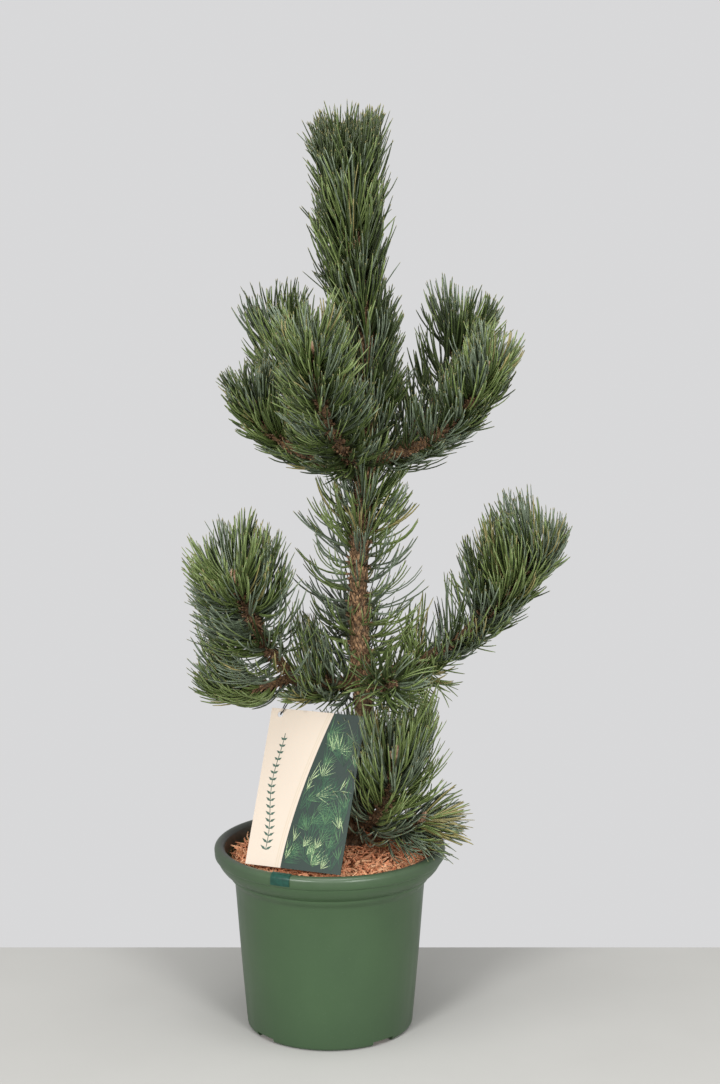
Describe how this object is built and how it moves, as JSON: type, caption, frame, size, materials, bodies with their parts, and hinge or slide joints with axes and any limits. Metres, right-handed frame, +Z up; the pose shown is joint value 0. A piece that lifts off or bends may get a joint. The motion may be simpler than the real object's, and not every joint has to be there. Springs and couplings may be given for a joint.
{
  "type": "potted black pine",
  "caption": "Young black pine with a needle-covered leader, two whorls of upswept brush-like shoots, a round green nursery pot filled with bark mulch, and a blank hanging label.",
  "frame": {"origin": "centre of the pot's flat underside, on the surface the pot stands on", "axes": "+Z up along the trunk, -Y towards the front with the label, +X to the right seen from the front"},
  "size_m": [0.3833, 0.3054, 0.9517],
  "materials": {
    "green_plastic": "satin moulded plastic",
    "bark_mulch": "shredded bark over potting soil",
    "scaly_bark": "rough, scaly young bark",
    "pine_needles": "satin green needles",
    "label_card": "satin printed card, with no lettering",
    "tie": "dark plastic tie"
  },
  "bodies": {
    "root": {"pot": "green_plastic", "potting_mulch": "bark_mulch", "trunk": "scaly_bark", "left_bough": "scaly_bark", "right_bough": "scaly_bark", "front_bough": "scaly_bark", "back_bough": "scaly_bark", "upper_bough_left": "scaly_bark", "upper_bough_back_left": "scaly_bark", "upper_bough_front": "scaly_bark", "upper_bough_right": "scaly_bark", "upper_bough_back_right": "scaly_bark", "upper_bough_back": "scaly_bark", "foot_bough_upright": "scaly_bark", "foot_bough_low": "scaly_bark", "leader_needles": "pine_needles", "trunk_needles": "pine_needles", "left_bough_needles": "pine_needles", "left_shoot_front_needles": "pine_needles", "left_shoot_low_needles": "pine_needles", "right_shoot_needles": "pine_needles", "front_shoot_needles": "pine_needles", "back_shoot_needles": "pine_needles", "upper_shoot_left_needles": "pine_needles", "upper_shoot_back_left_needles": "pine_needles", "upper_shoot_front_needles": "pine_needles", "upper_shoot_right_needles": "pine_needles", "upper_shoot_back_right_needles": "pine_needles", "upper_shoot_back_needles": "pine_needles", "foot_shoot_upright_needles": "pine_needles", "foot_shoot_low_needles": "pine_needles", "label_card": "label_card", "label_tie": "tie"}
  },
  "joints": []
}
